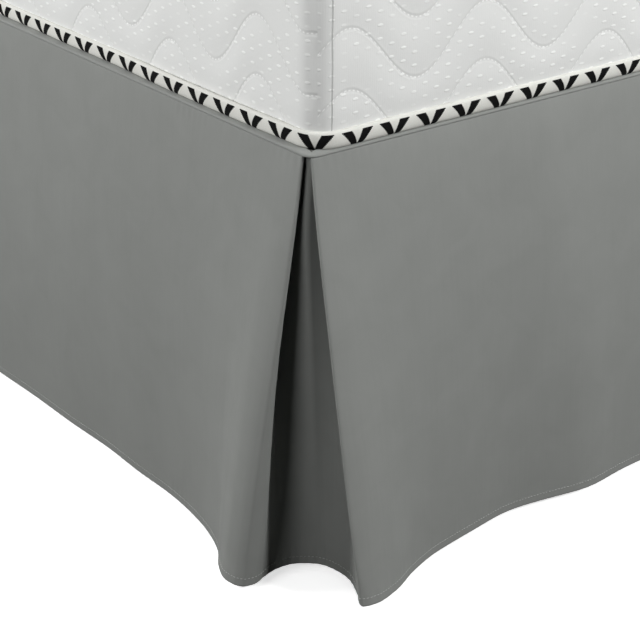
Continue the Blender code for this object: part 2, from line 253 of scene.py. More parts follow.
def woven_cover():
    """A plain weave of slubby polyester yarn: matt cream, with the slubs' uneven tone, and painted shade
    that makes the colour a little darker between the yarns. The yarn is 0.9 mm apart, drawn at 1.8 mm
    so that it shows."""
    yarn_apart = 0.0018
    made, tree, shader = new_material("cream_woven_polyester", 0.92, Sheen_Weight=0.15)
    uv = add_node(tree, "ShaderNodeUVMap", {}, uv_map="cloth").outputs["UV"]
    weave = plain_weave(tree, uv, yarn_apart)
    slub = add_node(tree, "ShaderNodeTexNoise", {"Vector": uv, "Scale": 220.0, "Detail": 3.0})
    # Painted shade: the colour darkens where the weave is low, between the yarns; the slub noise is the
    # yarn's own tone. The sum is also the bump's height.
    shade = add_node(
        tree,
        "ShaderNodeMath",
        {0: weave, 1: 0.25, 2: slub.outputs["Fac"]},
        operation="MULTIPLY_ADD",
    ).outputs[0]
    colour = two_tone(tree, shade, "b3aea2", "c9c5bb")
    finish(tree, shader, colour, shade, 0.5, 0.0003)
    return made


def welt(middle_inset, middle_height, first, last):
    """A welt's round back, as profile rows of (inset, height): an arc between two angles."""
    turn = np.radians(np.linspace(first, last, WELT_STEPS))
    return np.stack(
        [middle_inset - WELT_RADIUS * np.cos(turn), middle_height + WELT_RADIUS * np.sin(turn)], axis=-1
    )


def base_cover():
    """The cover as one closed skin: in from the middle of its underside, up over the lower welt, a
    side that bows out by COVER_BOW as half a sine, over the upper welt and in to the middle of the top.
    """
    bottom, top = base_low[2], base_high[2]
    side_share = np.linspace(0, 1, 15)[1:-1]
    side = np.stack(
        [
            WELT_RADIUS - COVER_BOW * np.sin(pi * side_share),
            bottom + 2 * WELT_RADIUS + side_share * (top - bottom - 4 * WELT_RADIUS),
        ],
        axis=-1,
    )
    profile = np.concatenate(
        [
            [(0.035, bottom + 0.0015), (0.012, bottom + 0.0012)],
            welt(WELT_RADIUS, bottom + WELT_RADIUS, -110, 80),
            side,
            welt(WELT_RADIUS, top - WELT_RADIUS, -80, 110),
            [(0.012, top - 0.0012), (0.035, top - 0.0008)],
        ]
    )
    edge = bed_edge(base_high[0], (base_high[1] - base_low[1]) / 2, BASE_CORNER, BASE_COLUMNS)
    pull = 0.0006 * np.sin(edge[2][:-1] / 0.043) * np.sin(edge[2][:-1] / 0.171 + 1.0)
    inset = profile[:, :1] + pull * np.exp(-((profile[:, :1] / 0.02) ** 2))
    points = ring_walls(edge, inset, profile[:, 1:])
    return capped_ring("base_cover", edge, profile, points)


cover = base_cover()
cover.data.materials.append(woven_cover())
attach(cover, "root")
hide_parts("bed_base")


# Platform cloth. One flat sheet of the skirt's microfibre lies on the base. Its rim is turned down on
# the foot and the two sides and seamed there to the drops, with the seam allowance pressed inside.

platform_low, platform_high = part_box("platform")
CAD_SHEET = 0.0016
SEAM_X = platform_high[0] - CAD_SHEET / 2
FOOT_Y = platform_low[1] + CAD_SHEET / 2
HEAD_Y = platform_high[1]
DECK_TOP = platform_high[2]
DECK_CORNER = 0.008
CLOTH = 0.0010
DECK_COLUMNS = 1400
UNDER_POINTS = 6
RIM_TURN = 0.003
SEAM_HEIGHT = DECK_TOP - RIM_TURN


def brushed_microfibre():
    """Polyester microfibre, plain-woven from hair-fine yarn, dyed mid grey and lightly brushed: quite
    matt with a faint sheen. Its colour has faint streaks along the warp and cloudy marks, which are
    partly the cloth's own uneven tone and partly painted shade standing in for small creases.

    The yarn is 0.2 mm apart, drawn at 0.8 mm so that it shows.
    """
    yarn_apart = 0.0008
    streak_apart, streak_length = 0.0022, 0.090
    made, tree, shader = new_material(
        "grey_brushed_microfibre",
        0.78,
        Sheen_Weight=0.12,
        Sheen_Roughness=0.45,
        Specular_IOR_Level=0.25,
    )
    uv = add_node(tree, "ShaderNodeUVMap", {}, uv_map="cloth").outputs["UV"]
    drawn_out = add_node(
        tree,
        "ShaderNodeVectorMath",
        {0: uv, 1: (1 / streak_apart, 1 / streak_length, 1.0)},
        operation="MULTIPLY",
    )
    streaks = add_node(
        tree, "ShaderNodeTexNoise", {"Vector": drawn_out.outputs[0], "Scale": 1.0, "Detail": 3.0}
    )
    cloudy_tone_and_shade = add_node(
        tree,
        "ShaderNodeTexNoise",
        {"Vector": uv, "Scale": 24.0, "Detail": 4.0, "Roughness": 0.55, "Distortion": 0.6},
    )
    weave = plain_weave(tree, uv, yarn_apart)
    # Painted shade in part: the colour's cloudy marks and streaks are the cloth's own uneven tone and also
    # stand in for the shade of small creases.
    both = add_node(
        tree,
        "ShaderNodeMix",
        {"Factor": 0.28, "A": cloudy_tone_and_shade.outputs["Fac"], "B": streaks.outputs["Fac"]},
        data_type="FLOAT",
    )
    colour = two_tone(tree, both.outputs["Result"], "7e807d", "8b8d8a")
    relief = add_node(
        tree,
        "ShaderNodeMath",
        {0: weave, 1: 0.2, 2: streaks.outputs["Fac"]},
        operation="MULTIPLY_ADD",
    )
    finish(tree, shader, colour, relief.outputs[0], 0.35, 0.00012)
    return made


def platform_cloth():
    """The sheet, its turned-down rim and its underside, as one closed skin round the bed's outline.

    The rim's profile runs from the middle of the underside out, down to the seam, up round it and back
    over the top. At the open head end every point is lifted to the flat sheet.
    """
    top, under = DECK_TOP, DECK_TOP - CLOTH
    seam = SEAM_HEIGHT + 0.0001
    outer, inner = -CAD_SHEET / 2, -CAD_SHEET / 2 + CLOTH
    profile = np.array(
        [
            # (inset, height)
            (0.0300, under),
            (0.0100, under),
            (inner + 0.0010, under - 0.0001),
            (inner + 0.0002, under - 0.0007),
            (inner, seam + 0.0005),
            (inner - 0.0002, seam),
            (outer + 0.0003, seam + 0.0001),
            (outer, seam + 0.0005),
            (outer, top - 0.0016),
            (outer + 0.0006, top - 0.0008),
            (outer + 0.0018, top - 0.0003),
            (0.0050, top - 0.0001),
            (0.0100, top),
            (0.0300, top),
        ]
    )
    half_length = (HEAD_Y - FOOT_Y) / 2
    edge = bed_edge(SEAM_X, half_length, DECK_CORNER, DECK_COLUMNS)
    points = ring_walls(edge, profile[:, :1], profile[:, 1:])
    at_head = points[..., 1] > HEAD_Y - DECK_CORNER
    flat = np.where(np.arange(len(profile)) < UNDER_POINTS, under, top)[:, None]
    points[..., 2] = np.where(at_head, np.maximum(points[..., 2], flat), points[..., 2])
    points[..., 1] = np.minimum(points[..., 1], HEAD_Y)
    return capped_ring("platform_cloth", edge, profile, points)


microfibre = brushed_microfibre()
deck = platform_cloth()
deck.data.materials.append(microfibre)
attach(deck, "root")
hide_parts("platform")


# Drops. Three hemmed panels of the same microfibre hang from the platform's seam to just above the
# floor. At each foot corner an inverted pleat is folded in: the cloth runs back along the side, turns,
# comes forward to the corner and turns again to be the face. Below the seam the pleat falls open.

DROP = 0.381
PLEAT_DEPTH = 0.039
LAYER_PITCH = 0.0024
FOLD_RADIUS = LAYER_PITCH / 2
FRONT_REACH = 0.0024
FRONT_FOLD = 2 * PLEAT_DEPTH + FRONT_REACH
FOOT_FOLD_BACK = 0.0060
FOLDED_LENGTH = 0.100
HEAD_SHORT = 0.002

# Where the hem runs at a foot corner. A row is a place on the cloth: its distance along the cloth
# from the pleat's centre, negative on the foot drop, and how far it hangs outside the side drop's
# seam and outside the foot drop's seam. Past STRAIGHT_FROM it hangs straight below the seam, moved
# out by HEM_OUT_FOOT or HEM_OUT_SIDE.
HEM_AT_CORNER = (
    # (along_cloth, past_side_seam, past_foot_seam)
    (-0.313, -0.237, 0.024),
    (-0.264, -0.188, 0.023),
    (-0.217, -0.141, 0.027),
    (-0.180, -0.105, 0.034),
    (-0.151, -0.077, 0.044),
    (-0.124, -0.055, 0.058),
    (-0.103, -0.036, 0.065),
    (-0.080, -0.016, 0.058),
    (-0.070, -0.014, 0.048),
    (-0.058, -0.018, 0.037),
    (-0.039, -0.022, 0.019),
    (-0.024, -0.020, 0.004),
    (-0.011, -0.013, -0.007),
    (0.000, -0.005, -0.015),
    (0.016, 0.010, -0.020),
    (0.037, 0.031, -0.020),
    (0.059, 0.052, -0.012),
    (0.079, 0.070, -0.004),
    (0.090, 0.073, -0.015),
    (0.114, 0.068, -0.041),
    (0.147, 0.054, -0.072),
    (0.182, 0.043, -0.105),
    (0.210, 0.038, -0.133),
    (0.266, 0.033, -0.188),
    (0.372, 0.035, -0.295),
)
STRAIGHT_FROM = 0.600
HEM_OUT_FOOT = 0.024
HEM_OUT_SIDE = 0.034

# Soft folds down each face: where the fold starts on the seam and ends at the hem, measured along
# the bed, its half width, and how far it stands out (or in, where negative) at mid height and hem.
FOOT_FOLDS = (
    # (at_seam, at_hem, half_width, out_at_middle, out_at_hem)
    (-0.51, -0.47, 0.060, 0.0022, 0.0040),
    (-0.33, -0.36, 0.050, -0.0018, -0.0030),
    (-0.16, -0.10, 0.070, 0.0025, 0.0045),
    (0.06, 0.02, 0.050, -0.0020, -0.0035),
    (0.19, 0.24, 0.060, 0.0018, 0.0030),
    (0.42, 0.46, 0.045, 0.0012, -0.0025),
)
RIGHT_FOLDS = (
    # (from_foot_at_seam, from_foot_at_hem, half_width, out_at_middle, out_at_hem)
    (0.195, 0.208, 0.040, -0.0014, -0.0045),
    (0.268, 0.302, 0.036, 0.0020, 0.0060),
    (0.450, 0.440, 0.050, -0.0026, -0.0030),
    (0.620, 0.660, 0.060, -0.0030, -0.0050),
    (0.860, 0.820, 0.070, 0.0030, 0.0060),
    (1.090, 1.120, 0.060, -0.0025, -0.0045),
    (1.330, 1.290, 0.075, 0.0030, 0.0055),
    (1.560, 1.600, 0.060, -0.0022, -0.0040),
    (1.800, 1.770, 0.070, 0.0020, 0.0050),
)
LEFT_FOLDS = (
    # (from_foot_at_seam, from_foot_at_hem, half_width, out_at_middle, out_at_hem)
    (0.230, 0.200, 0.034, -0.0020, -0.0032),
    (0.310, 0.330, 0.036, 0.0024, 0.0030),
    (0.500, 0.470, 0.055, -0.0026, -0.0040),
    (0.740, 0.790, 0.070, 0.0030, 0.0055),
    (1.010, 0.980, 0.060, -0.0024, -0.0050),
    (1.240, 1.270, 0.070, 0.0026, 0.0045),
    (1.480, 1.450, 0.060, -0.0026, -0.0045),
    (1.720, 1.750, 0.075, 0.0026, 0.0050),
)
FOLDS_START = 0.060
FOLDS_BLEND = 0.012
BOW = 0.05

# Each front fold stays a crease most of the way down: it stands out towards the pleat's opening by
# CREASE_LEFT or CREASE_RIGHT, of which CREASE_OUT goes past its own face's side and CREASE_BACK is
# taken off the other. It comes in over the share CREASE_STARTS of the drop, and goes out as the power
# CREASE_ENDS of the share fallen. The left one slides along the cloth towards the pleat's centre on
# the way down. Behind the left fold the cloth puffs forward below PUFF_STARTS.
CREASE_LEFT = 0.0058
CREASE_RIGHT = 0.0068
CREASE_WIDTH = 0.0070
CREASE_TIP = 0.0010
CREASE_SLIDES = 0.0220
CREASE_STARTS = 0.2
CREASE_ENDS = 8
CREASE_OUT = 0.95
CREASE_BACK = 0.30
PUFF = 0.0110
PUFF_AT = -0.022
PUFF_WIDTH = 0.030
PUFF_STARTS = 0.12

# A face bellies out between seam and hem, and the seam allowance inside pushes it out as a shoulder
# just below the seam. Amounts are (belly, shoulder) for the foot and the sides.
FOOT_FULLNESS = (0.0050, 0.0015)
SIDE_FULLNESS = (0.0050, 0.0035)
SHOULDER_FALL = 0.055

# The hem is turned up twice inside and sewn STITCH_UP above its edge. The seam at the top and the
# hem's stitching draw the cloth into small puckers.
HEM_TURN = 0.010
HEM_EXTRA = 0.0008
STITCH_UP = 0.0075
EDGE_ROUND = 0.0008
PUCKER_APART = 0.0085
SEAM_PUCKER = 0.00045
SEAM_PUCKER_DOWN = 0.004
SEAM_PUCKER_REACH = 0.007
HEM_PUCKER = 0.00035
HEM_PUCKER_REACH = 0.008

# Columns stand this far apart along the cloth: in the pleat and lobes, on to NEAR_END, and beyond.
LOBE_STEP = 0.0022
LOBE_END = 0.260
NEAR_STEP = 0.0045
NEAR_END = 0.600
FAR_STEP = 0.0085


def folded_seam(along):
    """The top edge's place past the side seam and past the foot seam, for a side drop at a corner.

    The edge is walked: its heading turns through half a circle, evenly, within each of the two folds
    and is steady elsewhere, and the place is the sum of the small steps along the heading.
    """
    walked = np.linspace(0, FOLDED_LENGTH, 6001)
    half_circle = pi * FOLD_RADIUS
    back_fold = PLEAT_DEPTH - half_circle / 2
    front_fold = back_fold + PLEAT_DEPTH + FRONT_REACH
    turned_back = np.clip((walked - back_fold) / half_circle, 0, 1)
    turned_front = np.clip((walked - front_fold) / half_circle, 0, 1)
    heading = pi * (turned_back - turned_front) - pi / 2
    step = np.diff(walked, prepend=0)
    past_side = -2 * LAYER_PITCH + np.cumsum(step * np.cos(heading))
    past_foot = -2 * LAYER_PITCH + np.cumsum(step * np.sin(heading))
    beyond = np.maximum(along - FOLDED_LENGTH, 0)
    return np.interp(along, walked, past_side), np.interp(along, walked, past_foot) - beyond


def seam_at(along):
    """Where the folded seam lies. The foot half is the side half mirrored in the corner's diagonal,
    with its fold further back from the corner."""
    across, side_down = folded_seam(np.abs(along))
    foot_down = side_down - FOOT_FOLD_BACK * np.minimum(np.abs(along) / PLEAT_DEPTH, 1)
    return np.where(along >= 0, across, foot_down), np.where(along >= 0, side_down, across)


def smooth_through(knots, values, along):
    """A smooth curve through the knots: cubic, with each knot's slope taken from its neighbours."""
    slopes = np.gradient(values, knots)
    inside = np.clip(along, knots[0], knots[-1])
    left = np.clip(np.searchsorted(knots, inside, side="right") - 1, 0, len(knots) - 2)
    width = knots[left + 1] - knots[left]
    t = (inside - knots[left]) / width
    start = (1 + 2 * t) * (1 - t) ** 2 * values[left] + t * (1 - t) ** 2 * width * slopes[left]
    end = t**2 * (3 - 2 * t) * values[left + 1] - t**2 * (1 - t) * width * slopes[left + 1]
    return start + end


def hem_at(along):
    """Where the hem hangs: a smooth curve through the hem table, then straight below the seam."""
    ends = np.array([-STRAIGHT_FROM, STRAIGHT_FROM])
    past_side, past_foot = seam_at(ends)
    foot_end = (ends[0], past_side[0], past_foot[0] + HEM_OUT_FOOT)
    side_end = (ends[1], past_side[1] + HEM_OUT_SIDE, past_foot[1])
    table = np.array([foot_end, *HEM_AT_CORNER, side_end])
    past_side = smooth_through(table[:, 0], table[:, 1], along)
    past_foot = smooth_through(table[:, 0], table[:, 2], along)
    past_side = past_side + np.minimum(along + STRAIGHT_FROM, 0)
    past_foot = past_foot - np.maximum(along - STRAIGHT_FROM, 0)
    return past_side, past_foot


def crease(along, fold, fall):
    """How sharply the cloth is drawn out at a fold: a rounded exponential peak across. It comes in
    quickly below the seam and goes out just above the hem."""
    down = (1 - np.exp(-fall / CREASE_STARTS)) * (1 - fall**CREASE_ENDS)
    return down * np.exp(-np.hypot(along - fold, CREASE_TIP) / CREASE_WIDTH)


def hanging(along, fall):
    """The cloth at a corner: each thread hangs from its place on the seam to its place on the hem,
    bowed out a little as half a sine, with the creases and the puff in the pleat added."""
    share = fall + BOW * np.sin(pi * fall)
    past_side, past_foot = [
        high + (low - high) * share for high, low in zip(seam_at(along), hem_at(along))
    ]
    left = CREASE_LEFT * crease(along, CREASE_SLIDES * fall**2 - FRONT_FOLD, fall)
    right = CREASE_RIGHT * crease(along, FRONT_FOLD, fall)
    opened = (1 - np.exp(-((fall / PUFF_STARTS) ** 2))) * (1 - fall)
    puff = PUFF * opened * np.exp(-(((along - PUFF_AT) / PUFF_WIDTH) ** 2))
    past_side = past_side + CREASE_OUT * left - CREASE_BACK * right
    past_foot = past_foot - CREASE_BACK * left + CREASE_OUT * right + puff
    return past_side, past_foot


def soft_folds(table, place_on_face, fall):
    """How far the soft folds stand out: each is a bell curve across, growing down the drop."""
    total = np.zeros_like(place_on_face)
    for at_seam, at_hem, half_width, out_at_middle, out_at_hem in table:
        centre = at_seam + (at_hem - at_seam) * fall
        bell = np.exp(-(((place_on_face - centre) / half_width) ** 2))
        total += bell * (4 * fall * (1 - fall) * out_at_middle + fall**2 * out_at_hem)
    return total


def fullness(amounts, fall):
    """How far a face stands out of the straight line from seam to hem: the belly as half a sine, and
    the shoulder as an exponential rise that fades evenly towards the hem."""
    belly, shoulder = amounts
    rise = (1 - np.exp(-fall / SHOULDER_FALL)) * (1 - fall)
    return belly * np.sin(pi * fall) + shoulder * rise


def face_share(along):
    """0 round the pleat, rising as an S curve to 1 where the face's own soft folds start."""
    past_fold = np.abs(along) - FRONT_FOLD
    return 1 / (1 + np.exp(-(past_fold - FOLDS_START) / FOLDS_BLEND))


def puckers(along, fall):
    """How far the sewing's small puckers stand out: a sine along the cloth whose pace wanders, dying
    away from the seam and from the hem's stitches as bell curves."""
    below_seam = DROP * fall
    from_stitches = DROP * (1 - fall) - STITCH_UP
    wave = np.sin(2 * pi * along / PUCKER_APART + 2.1 * np.sin(along / 0.031))
    strength = 0.6 + 0.4 * np.sin(along / 0.057 + 1.3)
    from_seam = below_seam - SEAM_PUCKER_DOWN
    at_seam = SEAM_PUCKER * np.exp(-(from_seam**2) / SEAM_PUCKER_REACH**2)
    at_hem = HEM_PUCKER * np.exp(-(from_stitches**2) / HEM_PUCKER_REACH**2)
    return wave * strength * (at_seam + at_hem)


def way_out(points):
    """The unit normal at each point of a grid, from the cross product of its two directions. It points
    out of the bed where the columns run clockwise round it, seen from above."""
    down = np.gradient(points, axis=0)
    along = np.gradient(points, axis=1)
    normal = np.cross(along, down)
    return normal / np.linalg.norm(normal, axis=-1, keepdims=True)


def drop_rows():
    """Shares of the drop fallen at each row: close together at the seam and the hem."""
    top = np.array([0.0, 0.0004, 0.0010, 0.0020, 0.0035, 0.0055, 0.0080, 0.0115]) / DROP
    turned_hem = [0.0155, 0.0125, 0.0105, 0.0097, 0.0088, STITCH_UP]
    edge = [0.0062, 0.0045, 0.0028, 0.0014, 0.0006, 0.0]
    hem = 1 - np.array(turned_hem + edge) / DROP
    return np.concatenate([top, np.linspace(top[-1], hem[0], 52)[1:-1], hem])


def end_caps(rows, columns):
    """The faces that close both ends of a skin whose rows run down its face and back up its inside."""
    outside = np.arange(rows - 1) * columns
    inside = (2 * rows - 1 - np.arange(rows - 1)) * columns
    start = np.stack([outside, outside + columns, inside - columns, inside], axis=-1)
    return np.concatenate([start, start[:, ::-1] + columns - 1]).tolist()


def cloth_skin(name, mid, along, fall):
    """One closed skin round a panel's middle surface: down the outside, round the hem's edge and up
    the inside.

    The outside stands half the cloth's thickness out and the inside as far in, with the turned hem's
    extra layers inside. Both draw to a thin edge at the hem and at the seam as a quarter ellipse.
    """
    normal = way_out(mid)
    up = DROP * (1 - fall)[..., None]
    down = DROP * fall[..., None]
    rounding = np.sqrt(np.clip(1 - (1 - np.minimum(up, EDGE_ROUND) / EDGE_ROUND) ** 2, 0.02, 1))
    rounding *= np.sqrt(np.clip(1 - (1 - np.minimum(down, EDGE_ROUND) / EDGE_ROUND) ** 2, 0.10, 1))
    turned_hem = HEM_EXTRA / (1 + np.exp((up - HEM_TURN) / 0.0003))
    outer = mid + normal * rounding * CLOTH / 2
    inner = mid - normal * rounding * (CLOTH / 2 + turned_hem)
    points = np.concatenate([outer, inner[::-1]])
    lines = np.concatenate([fall, fall[::-1], fall[:1]])
    runs = np.concatenate([along, along[::-1], along[:1]])
    uv = np.stack([runs, DROP * lines], axis=-1)
    caps = end_caps(*mid.shape[:2])
    panel = surface(name, points, {"cloth": uv}, closed_rows=True, extra_faces=caps)
    panel.data.materials.append(microfibre)
    return panel, outer


def corner_columns():
    """Distances along the cloth at a corner, from the seam in the pleat's back fold outwards. The two
    folds get a column every sixteenth of their half circle."""
    half_circle = pi * FOLD_RADIUS
    folds = [PLEAT_DEPTH, FRONT_FOLD]
    tight = np.concatenate([fold + half_circle * np.linspace(-0.5, 0.5, 17) for fold in folds])
    lobe = np.arange(0, LOBE_END, LOBE_STEP)
    clear = np.abs(lobe[:, None] - tight).min(axis=1) > 0.4 * LOBE_STEP
    half = np.concatenate([tight, lobe[clear]])
    return np.unique(np.round(np.concatenate([-half, half]), 7))


def outward_columns(end):
    """Distances from the lobe to the far end of the cloth, in two near-equal steps."""
    near = np.linspace(LOBE_END, NEAR_END, round((NEAR_END - LOBE_END) / NEAR_STEP) + 1)
    far = np.linspace(NEAR_END, end, round((end - NEAR_END) / FAR_STEP) + 1)
    return np.concatenate([near, far[1:]])


def side_cloth(side, folds):
    """A side drop's middle surface, from the pleat's back fold to the head end."""
    _, face_foot = seam_at(np.array([FOLDED_LENGTH]))
    end = HEAD_Y - FOOT_Y - HEAD_SHORT + FOLDED_LENGTH + face_foot[0]
    corner = corner_columns()
    columns = np.concatenate([corner[corner >= -PLEAT_DEPTH], outward_columns(end)])
    along, fall = np.meshgrid(columns, drop_rows())
    past_side, past_foot = hanging(along, fall)
    stands_out = soft_folds(folds, -past_foot, fall) + fullness(SIDE_FULLNESS, fall)
    past_side = past_side + face_share(along) * stands_out
    z = SEAM_HEIGHT - DROP * fall
    mid = np.stack([side * (SEAM_X + past_side), FOOT_Y - past_foot, z], axis=-1)
    return mid, along, fall


def foot_cloth():
    """The foot drop's middle surface, from one corner's back fold to the other's."""
    face_side, _ = seam_at(np.array([-FOLDED_LENGTH]))
    middle = SEAM_X + FOLDED_LENGTH + face_side[0]
    corner = corner_columns()
    half = np.concatenate([-outward_columns(middle)[::-1], corner[corner <= -PLEAT_DEPTH]])
    along, fall = np.meshgrid(half, drop_rows())
    past_side, past_foot = hanging(along, fall)
    x = np.concatenate([-(SEAM_X + past_side)[:, :0:-1], SEAM_X + past_side], axis=1)
    out = np.concatenate([past_foot[:, :0:-1], past_foot], axis=1)
    share = np.concatenate([face_share(along)[:, :0:-1], face_share(along)], axis=1)
    fallen = np.concatenate([fall[:, :0:-1], fall], axis=1)
    run = np.concatenate([(2 * half[0] - along)[:, :0:-1], along], axis=1)
    y = FOOT_Y - out - share * (soft_folds(FOOT_FOLDS, x, fallen) + fullness(FOOT_FULLNESS, fallen))
    return np.stack([x, y, SEAM_HEIGHT - DROP * fallen], axis=-1), run, fallen


def sewn_cloth(mid, along, fall):
    """The middle surface with the sewing's puckers raised on it along its normal."""
    return mid + way_out(mid) * puckers(along, fall)[..., None]


# Hem stitches: a lockstitch in lighter grey polyester thread, sunk a little into the cloth.
STITCH_LENGTH = 0.0026
STITCH_APART = 0.0034
THREAD_RADIUS = 0.00028
THREAD_SINK = 0.00008


def sewing_thread():
    """Spun polyester thread: lighter than the cloth, with a slight gloss where it is pulled tight."""
    made, tree, shader = new_material("grey_polyester_thread", 0.55, Sheen_Weight=0.1)
    place = add_node(tree, "ShaderNodeTexCoord", {}).outputs["Object"]
    twist = add_node(tree, "ShaderNodeTexNoise", {"Vector": place, "Scale": 900.0, "Detail": 2.0})
    colour = two_tone(tree, twist.outputs["Fac"], "a0a29f", "b4b6b3")
    finish(tree, shader, colour, twist.outputs["Fac"], 0.4, 0.0001)
    return made


def stitches(name, path, out):
    """A row of stitches on a path: each is a short rod that bows out of the cloth as half a sine and
    sinks in at its ends. All the rods are worked out as one array: stitch, ring, side."""
    step = np.linalg.norm(np.diff(path, axis=0), axis=1)
    walked = np.concatenate([[0], np.cumsum(step)])
    centre = np.arange(STITCH_APART, walked[-1] - STITCH_APART, STITCH_APART)
    share = np.linspace(-1, 1, 5)
    at = centre[:, None] + share * STITCH_LENGTH / 2
    spine = np.stack([np.interp(at, walked, path[:, k]) for k in range(3)], axis=-1)
    normal = np.stack([np.interp(at, walked, out[:, k]) for k in range(3)], axis=-1)
    normal /= np.linalg.norm(normal, axis=-1, keepdims=True)
    tangent = np.gradient(spine, axis=1)
    tangent /= np.linalg.norm(tangent, axis=-1, keepdims=True)
    across = np.cross(normal, tangent)
    bow = np.cos(share * pi / 2)[:, None] * THREAD_RADIUS - THREAD_SINK
    spine = spine + normal * bow
    turn = 2 * pi * np.arange(5) / 5
    thick = THREAD_RADIUS * np.sqrt(1.02 - share**2)[:, None, None]
    ring = across[:, :, None] * np.cos(turn)[:, None] + normal[:, :, None] * np.sin(turn)[:, None]
    points = (spine[:, :, None] + ring * thick).reshape(-1, 3)
    count = len(centre)
    base = (np.arange(count) * 25)[:, None]
    level, side = np.meshgrid(np.arange(4), np.arange(5), indexing="ij")
    after = (side + 1) % 5
    quad = np.stack([level * 5 + side, level * 5 + after, level * 5 + 5 + after, level * 5 + 5 + side], -1)
    sides = (base[:, :, None] + quad.reshape(1, -1, 4)).reshape(-1, 4)
    first = base + np.arange(5)[::-1]
    last = base + 20 + np.arange(5)
    mesh = bpy.data.meshes.new(name)
    mesh.from_pydata(points.tolist(), [], sides.tolist() + first.tolist() + last.tolist())
    return placed(name, mesh)


thread = sewing_thread()
hung = [
    ("foot", "foot_drop", foot_cloth()),
    ("right", "side_drop_right", side_cloth(1, RIGHT_FOLDS)),
    ("left", "side_drop_left", side_cloth(-1, LEFT_FOLDS)),
]
for label, cad_node, (mid, along, fall) in hung:
    if label != "left":
        mid, along, fall = mid[:, ::-1], along[:, ::-1], fall[:, ::-1]
    mid = sewn_cloth(mid, along, fall)
    panel, outer = cloth_skin(f"hung_{label}_drop", mid, along, fall)
    stitch_line = DROP - STITCH_UP
    row = int(np.argmin(np.abs(DROP * fall[:, 0] - stitch_line)))
    seam_row = stitches(f"hem_stitches_{label}", outer[row], way_out(mid)[row])
    seam_row.data.materials.append(thread)
    for piece in (panel, seam_row):
        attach(piece, "root")
    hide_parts(cad_node)


# Mattress. A quilted white knit over foam: a border strip joined by one seam at the right foot
# corner, and a top and bottom panel. Rows of waves are sewn through knit, wadding and backing.

mattress_low, mattress_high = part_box("mattress")
tape_low, tape_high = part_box("tape_bottom")
MATTRESS_CORNER = 0.025
MATTRESS_X = tape_high[0]
MATTRESS_Y = (tape_high[1] - tape_low[1]) / 2
TAPE_DEPTH = 0.005
BORDER_COLUMNS = 1300
BORDER_ROWS = 46
BORDER_HEIGHT = 0.250
LINE_APART = 0.050
LINE_FIRST = 0.0185
WAVE = 0.026
QUILT_RISE = 0.0012
BORDER_INSET = 0.0008
BORDER_FULL = 0.0030
BORDER_HELD = 0.030
BORDER_BACK = 0.012
SIDE_CRESTS = (0.172, 0.315)
FOOT_CRESTS = (0.202, 0.074)
WAVE_LENGTH = 0.136
BORDER_SEAM = 0.0125


def maths_in(tree):
    """A short way to add this tree's Math nodes: maths("ADD", a, b) is the new node's output."""

    def maths(operation, *values):
        return add_node(tree, "ShaderNodeMath", dict(enumerate(values)), operation=operation).outputs[0]

    return maths


